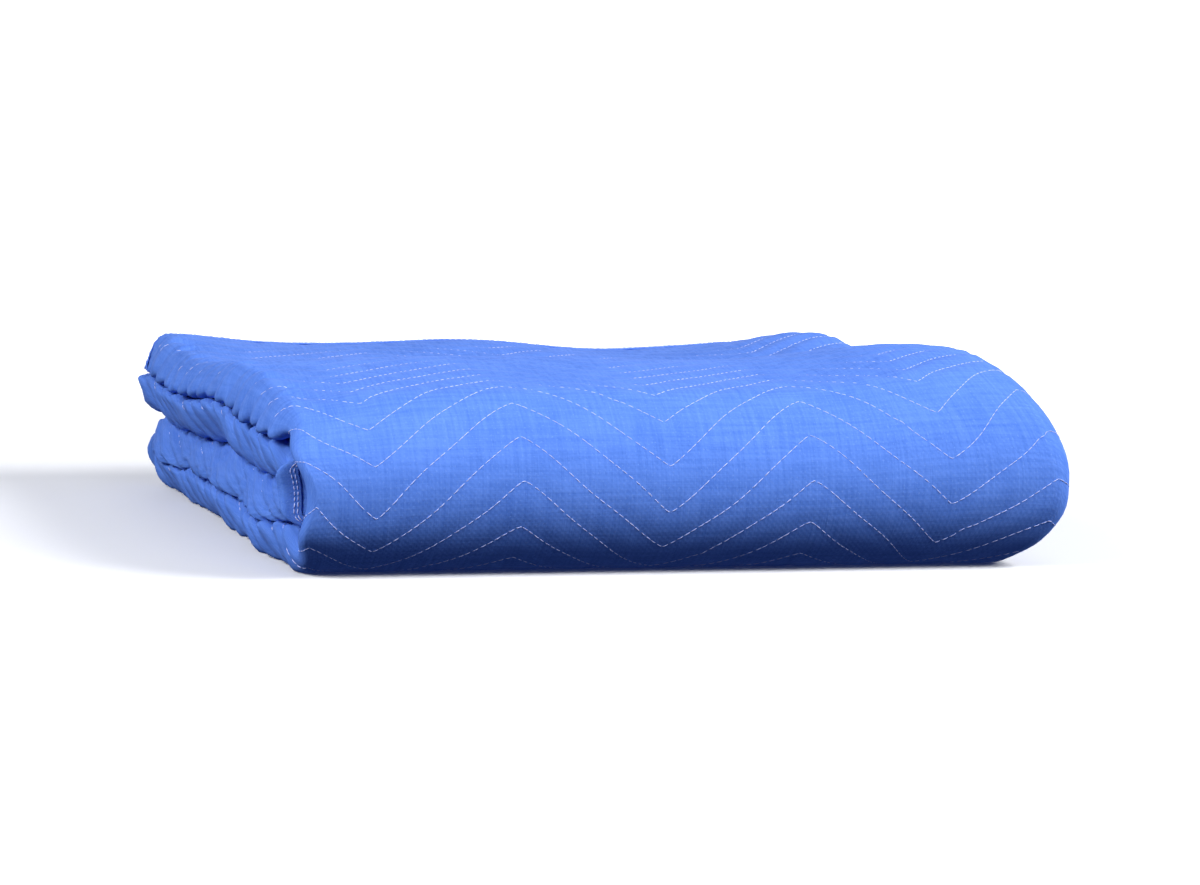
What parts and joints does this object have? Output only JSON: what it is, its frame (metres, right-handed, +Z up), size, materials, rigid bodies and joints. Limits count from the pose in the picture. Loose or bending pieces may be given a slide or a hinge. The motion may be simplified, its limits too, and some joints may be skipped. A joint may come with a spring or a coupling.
{
  "type": "moving blanket",
  "caption": "Quilted moving blanket with bound edges, folded into a thick flat pile; pads and covers furniture while it is moved or stored.",
  "frame": {"origin": "middle of the underside of the folded blanket, on the surface it lies on", "axes": "+Z up; +X along the wide smooth front bend, towards the side where the cloth turns round closed; -X towards the loose fold loops; -Y towards the front bend"},
  "size_m": [0.498, 0.4518, 0.1262],
  "materials": {
    "blanket_cloth": "matte woven poly-cotton, quilted",
    "binding_tape": "matte woven tape"
  },
  "bodies": {
    "root": {"quilted_blanket": "blanket_cloth", "edge_binding": "binding_tape"}
  },
  "joints": []
}
